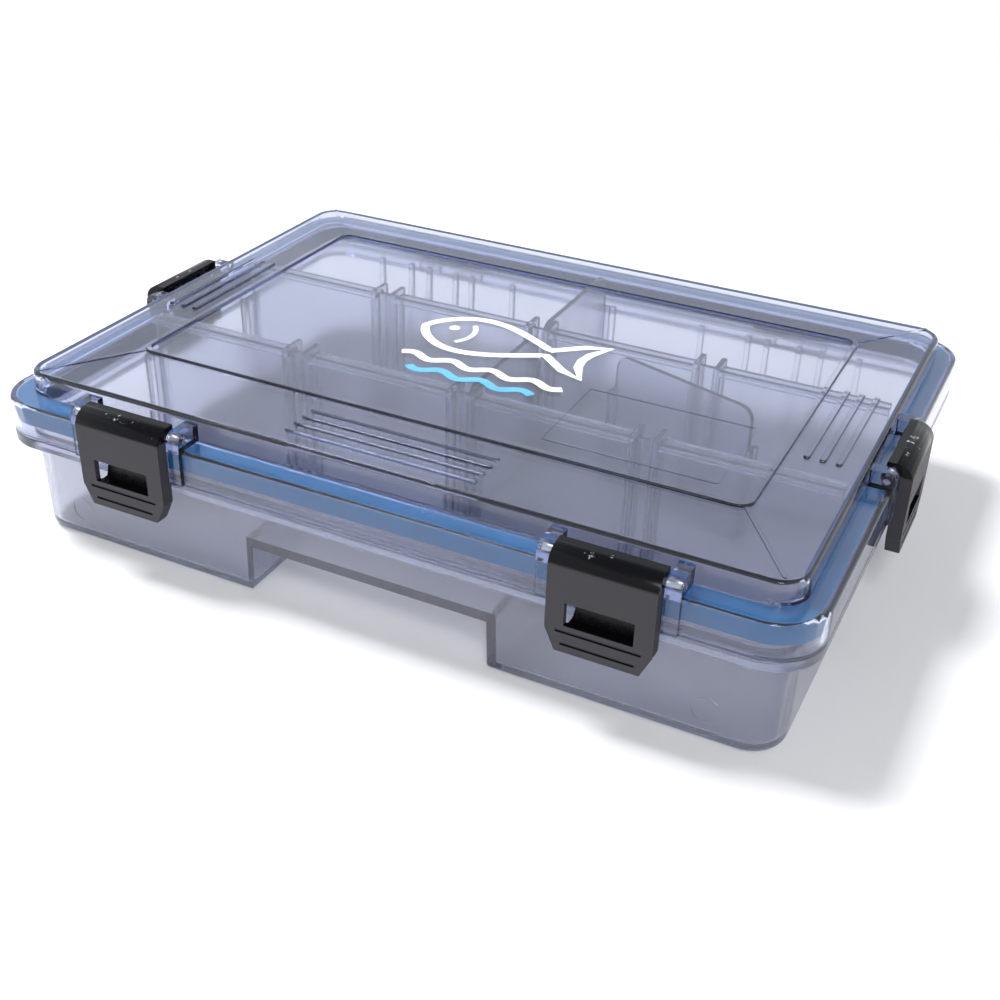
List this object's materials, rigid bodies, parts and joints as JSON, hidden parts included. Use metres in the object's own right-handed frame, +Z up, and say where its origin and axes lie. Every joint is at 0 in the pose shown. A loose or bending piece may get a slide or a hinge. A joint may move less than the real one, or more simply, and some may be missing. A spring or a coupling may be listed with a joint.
{
  "type": "fishing tackle box",
  "caption": "Flat translucent box with a hinged domed lid, a seal in its skirt, snap latches round the rim, and long and short dividers that part the tray into rows.",
  "frame": {"origin": "centre of the underside that the box stands on, below the middle of the rim", "axes": "+X to the right along the long front, +Y to the hinged back, +Z up"},
  "size_m": [0.239, 0.1793, 0.049],
  "materials": {
    "tray_plastic": "translucent smoke grey, polished",
    "lid_plastic": "translucent smoke grey, polished",
    "divider_plastic": "translucent smoke grey, satin",
    "seal_rubber": "soft blue seal",
    "latch_plastic": "black, satin, glossy over the nose",
    "pin_steel": "plain wire"
  },
  "bodies": {
    "tray": {"base_tray": "tray_plastic", "hinge_pin_left": "pin_steel", "hinge_pin_right": "pin_steel", "long_divider_front": "divider_plastic", "long_divider_rear": "divider_plastic", "short_divider_middle": "divider_plastic", "short_divider_rear": "divider_plastic", "short_divider_loose": "divider_plastic"},
    "lid": {"lid": "lid_plastic", "lid_gasket": "seal_rubber", "latch_pin_front_left": "pin_steel", "latch_pin_front_right": "pin_steel", "latch_pin_left": "pin_steel", "latch_pin_right": "pin_steel"},
    "latch_front_left": {"latch_front_left": "latch_plastic"},
    "latch_front_right": {"latch_front_right": "latch_plastic"},
    "latch_left": {"latch_left": "latch_plastic"},
    "latch_right": {"latch_right": "latch_plastic"}
  },
  "joints": [
    {"name": "lid_hinge", "type": "hinge", "parent": "tray", "child": "lid", "pos_m": [0, 0.0877, 0.0323], "axis": [-1, 0, 0], "range_deg": [0, 115]},
    {"name": "latch_front_left_pivot", "type": "hinge", "parent": "lid", "child": "latch_front_left", "pos_m": [-0.0676, -0.0834, 0.0442], "axis": [-1, 0, 0], "range_deg": [0, 100]},
    {"name": "latch_front_right_pivot", "type": "hinge", "parent": "lid", "child": "latch_front_right", "pos_m": [0.0676, -0.0834, 0.0442], "axis": [-1, 0, 0], "range_deg": [0, 100]},
    {"name": "latch_left_pivot", "type": "hinge", "parent": "lid", "child": "latch_left", "pos_m": [-0.1137, 0.0014, 0.0442], "axis": [0, 1, 0], "range_deg": [0, 100]},
    {"name": "latch_right_pivot", "type": "hinge", "parent": "lid", "child": "latch_right", "pos_m": [0.1137, 0.0014, 0.0442], "axis": [0, -1, 0], "range_deg": [0, 100]}
  ]
}
